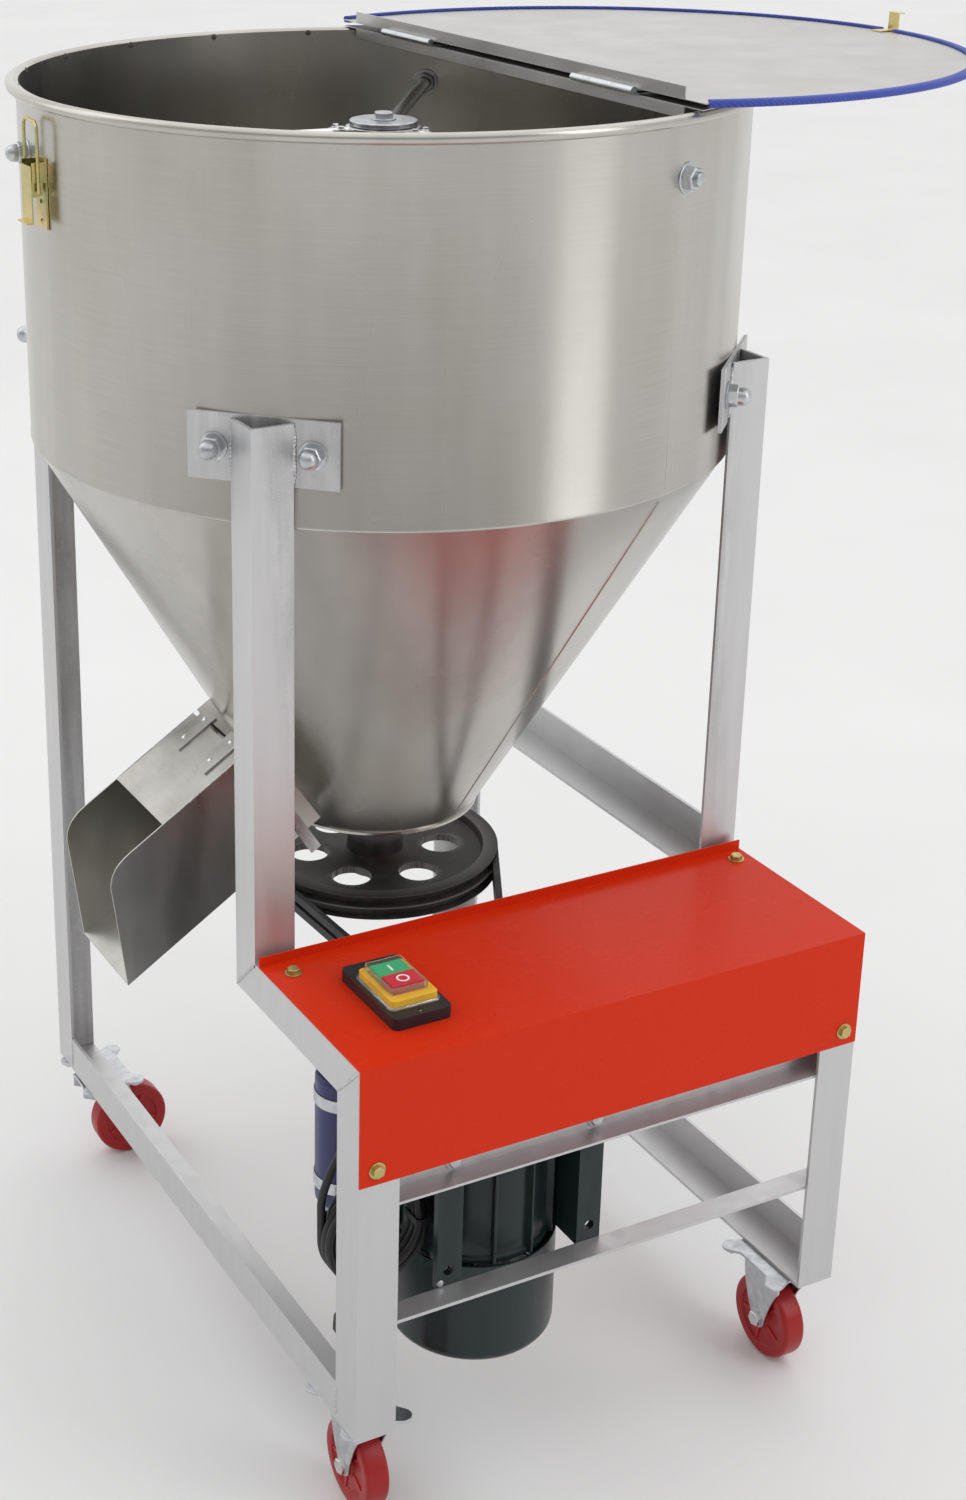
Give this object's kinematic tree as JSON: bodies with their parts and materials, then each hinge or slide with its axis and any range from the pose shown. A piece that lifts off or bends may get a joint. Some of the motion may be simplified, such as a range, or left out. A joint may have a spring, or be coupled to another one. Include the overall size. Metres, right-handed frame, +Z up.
{
  "type": "vertical feed mixer",
  "caption": "Upright stainless feed and seed mixer: conical hopper with a belt-driven auger on a wheeled angle-iron frame, half lid, motor, switch and side outlet.",
  "frame": {"origin": "middle of the footprint, on the floor under the wheels", "axes": "+Z up; +X to the right along the belt guard, the side the lid opens to; -Y is the operator's side with motor and switch"},
  "size_m": [1.14, 0.9658, 1.4843],
  "materials": {
    "stainless_sheet": "brushed, with tool rings and a soft sheen",
    "bright_stainless": "smooth and bright",
    "silver_paint": "silver paint over rolled angle iron",
    "red_paint": "glossy orange-red enamel",
    "green_paint": "dark grey-green semi-gloss paint on a cast housing",
    "zinc": "bright zinc plate",
    "yellow_zinc": "yellow zinc plate",
    "dark_iron": "dark cast iron",
    "wheel_red": "dark red moulded wheel",
    "capacitor_navy": "navy moulded can",
    "black_rubber": "black rubber",
    "seal_blue": "blue edge trim",
    "switch_black": "black moulded plastic",
    "switch_yellow": "yellow moulded plastic",
    "button_green": "green moulded plastic",
    "button_red": "red moulded plastic"
  },
  "bodies": {
    "frame": {"rear_left_leg": "silver_paint", "rear_right_leg": "silver_paint", "front_left_post": "silver_paint", "front_right_post": "silver_paint", "front_left_leg": "silver_paint", "front_right_leg": "silver_paint", "left_shelf_rail": "silver_paint", "right_shelf_rail": "silver_paint", "left_base_rail": "silver_paint", "right_base_rail": "silver_paint", "right_side_rail": "silver_paint", "motor_mount_rail": "silver_paint", "front_tie_bar": "silver_paint", "hopper_shell": "stainless_sheet", "outlet_chute": "stainless_sheet", "lid_fixed": "bright_stainless", "bearing_spider": "bright_stainless", "bottom_bearing": "dark_iron", "motor_housing": "green_paint", "motor_fan_cover": "green_paint", "drive_belt_1": "black_rubber", "drive_belt_2": "black_rubber", "mains_cord": "black_rubber", "mains_cord_tail": "black_rubber", "mains_coil": "black_rubber", "mains_plug": "black_rubber", "cord_gland": "black_rubber", "belt_guard": "red_paint", "start_capacitor": "capacitor_navy", "run_capacitor": "capacitor_navy", "switch_base": "switch_black", "switch_bezel": "switch_yellow", "latch_base": "yellow_zinc", "front_hinge_fixed_leaf": "zinc", "rear_hinge_fixed_leaf": "zinc", "front_left_castor_bracket": "zinc", "front_right_castor_bracket": "zinc", "rear_left_castor_plate": "zinc", "rear_right_castor_plate": "zinc"},
    "mixer": {"mixer_shaft": "bright_stainless", "auger_flight": "stainless_sheet", "large_pulley": "dark_iron"},
    "motor_rotor": {"motor_shaft": "bright_stainless", "motor_pulley": "dark_iron"},
    "lid": {"lid_hinged": "bright_stainless", "lid_edge_seal": "seal_blue", "lid_hook": "yellow_zinc", "front_hinge_lid_leaf": "zinc", "rear_hinge_lid_leaf": "zinc"},
    "gate": {"discharge_gate": "bright_stainless"},
    "latch_handle": {"latch_lever": "yellow_zinc"},
    "latch_loop": {"latch_bail": "yellow_zinc"},
    "start": {"start_button": "button_green"},
    "stop": {"stop_button": "button_red"},
    "front_left_wheel": {"front_left_wheel": "wheel_red"},
    "rear_left_castor": {"rear_left_castor_fork": "zinc"},
    "rear_left_wheel": {"rear_left_wheel": "wheel_red"},
    "front_right_wheel": {"front_right_wheel": "wheel_red"},
    "rear_right_castor": {"rear_right_castor_fork": "zinc"},
    "rear_right_wheel": {"rear_right_wheel": "wheel_red"}
  },
  "joints": [
    {"name": "mixer_spin", "type": "hinge", "parent": "frame", "child": "mixer", "pos_m": [-0.146, 0.0679, 1], "axis": [0, 0, 1], "continuous": true},
    {"name": "motor_spin", "type": "hinge", "parent": "frame", "child": "motor_rotor", "pos_m": [-0.243, -0.3491, 0.4], "axis": [0, 0, 1], "continuous": true},
    {"name": "lid_hinge", "type": "hinge", "parent": "frame", "child": "lid", "pos_m": [-0.001, 0.0679, 1.46], "axis": [0, -1, 0], "range_deg": [0, 180]},
    {"name": "gate_slide", "type": "slide", "parent": "frame", "child": "gate", "axis": [0, -1, 0], "range_m": [0, 0.12]},
    {"name": "latch_hinge", "type": "hinge", "parent": "frame", "child": "latch_handle", "pos_m": [-0.557, 0.0679, 1.378], "axis": [0, 1, 0], "range_deg": [0, 100]},
    {"name": "latch_loop_hinge", "type": "hinge", "parent": "latch_handle", "child": "latch_loop", "pos_m": [-0.5575, 0.0679, 1.359], "axis": [0, 1, 0], "range_deg": [-100, 0]},
    {"name": "start_press", "type": "slide", "parent": "frame", "child": "start", "axis": [0, 0, -1], "range_m": [0, 0.003], "stiffness_N_per_m": 400, "springref_m": -0.002},
    {"name": "stop_press", "type": "slide", "parent": "frame", "child": "stop", "axis": [0, 0, -1], "range_m": [0, 0.003], "stiffness_N_per_m": 400, "springref_m": -0.002},
    {"name": "front_left_wheel_spin", "type": "hinge", "parent": "frame", "child": "front_left_wheel", "pos_m": [-0.422, -0.4201, 0.05], "axis": [1, 0, 0], "continuous": true},
    {"name": "rear_left_swivel", "type": "hinge", "parent": "frame", "child": "rear_left_castor", "pos_m": [-0.422, 0.3159, 0.11], "axis": [0, 0, 1], "continuous": true},
    {"name": "rear_left_wheel_spin", "type": "hinge", "parent": "rear_left_castor", "child": "rear_left_wheel", "pos_m": [-0.386, 0.3159, 0.05], "axis": [0, 1, 0], "continuous": true},
    {"name": "front_right_wheel_spin", "type": "hinge", "parent": "frame", "child": "front_right_wheel", "pos_m": [0.13, -0.4201, 0.05], "axis": [1, 0, 0], "continuous": true},
    {"name": "rear_right_swivel", "type": "hinge", "parent": "frame", "child": "rear_right_castor", "pos_m": [0.13, 0.3159, 0.11], "axis": [0, 0, 1], "continuous": true},
    {"name": "rear_right_wheel_spin", "type": "hinge", "parent": "rear_right_castor", "child": "rear_right_wheel", "pos_m": [0.166, 0.3159, 0.05], "axis": [0, 1, 0], "continuous": true}
  ],
  "couplings": [
    {"joint": "motor_spin", "follows": "mixer_spin", "ratio": 4},
    {"joint": "latch_loop_hinge", "follows": "latch_hinge", "ratio": -1}
  ]
}
